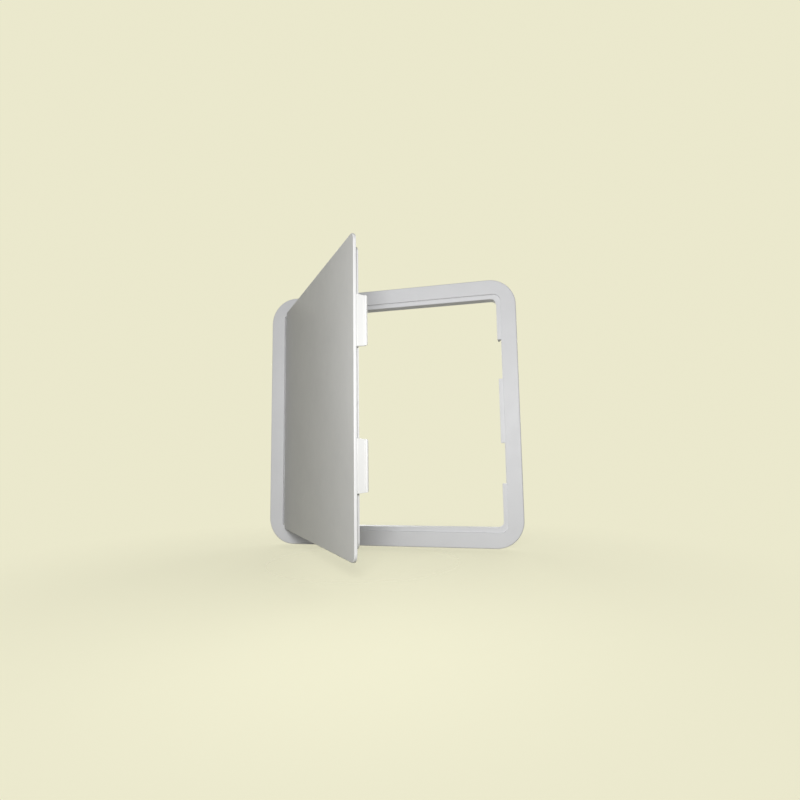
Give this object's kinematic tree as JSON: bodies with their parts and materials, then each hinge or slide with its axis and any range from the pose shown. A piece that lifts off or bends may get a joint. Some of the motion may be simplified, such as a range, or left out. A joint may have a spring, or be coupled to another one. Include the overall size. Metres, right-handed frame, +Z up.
{
  "type": "hinged wall access panel",
  "caption": "Square hinged access panel for a wall: flanged frame with rounded corners, flush swing door on hinge pins, snap latches on the free edge.",
  "frame": {"origin": "middle of the wall cut-out, on the surface of the wall, which is the plane of the flange's back", "axes": "+X to the right as seen from the room (hinge on the left, latches on the right), +Y into the wall, +Z up"},
  "size_m": [0.356, 0.2618, 0.356],
  "materials": {
    "frame_plastic": "fine moulded matt",
    "door_plastic": "fine moulded matt",
    "latch_plastic": "smooth acetal",
    "washer_nylon": "satin nylon",
    "pin_steel": "bright zinc plate"
  },
  "bodies": {
    "frame": {"face_frame": "frame_plastic", "upper_hinge_pin": "pin_steel", "lower_hinge_pin": "pin_steel", "upper_hinge_washer": "washer_nylon", "lower_hinge_washer": "washer_nylon"},
    "door": {"door_panel": "door_plastic", "upper_latch_base": "latch_plastic", "lower_latch_base": "latch_plastic", "latch_screws": "pin_steel"},
    "upper_latch": {"upper_latch_tongue": "latch_plastic"},
    "lower_latch": {"lower_latch_tongue": "latch_plastic"}
  },
  "joints": [
    {"name": "door_swing", "type": "hinge", "parent": "frame", "child": "door", "pos_m": [-0.15425, -0.00025, 0], "axis": [0, 0, -1], "range_deg": [-52, 52]},
    {"name": "upper_latch_flex", "type": "hinge", "parent": "door", "child": "upper_latch", "pos_m": [0.03725, -0.24276, 0.069], "axis": [0, 0, 1], "range_deg": [0, 8], "stiffness_Nm_per_rad": 0.4},
    {"name": "lower_latch_flex", "type": "hinge", "parent": "door", "child": "lower_latch", "pos_m": [0.03725, -0.24276, -0.069], "axis": [0, 0, 1], "range_deg": [0, 8], "stiffness_Nm_per_rad": 0.4}
  ]
}
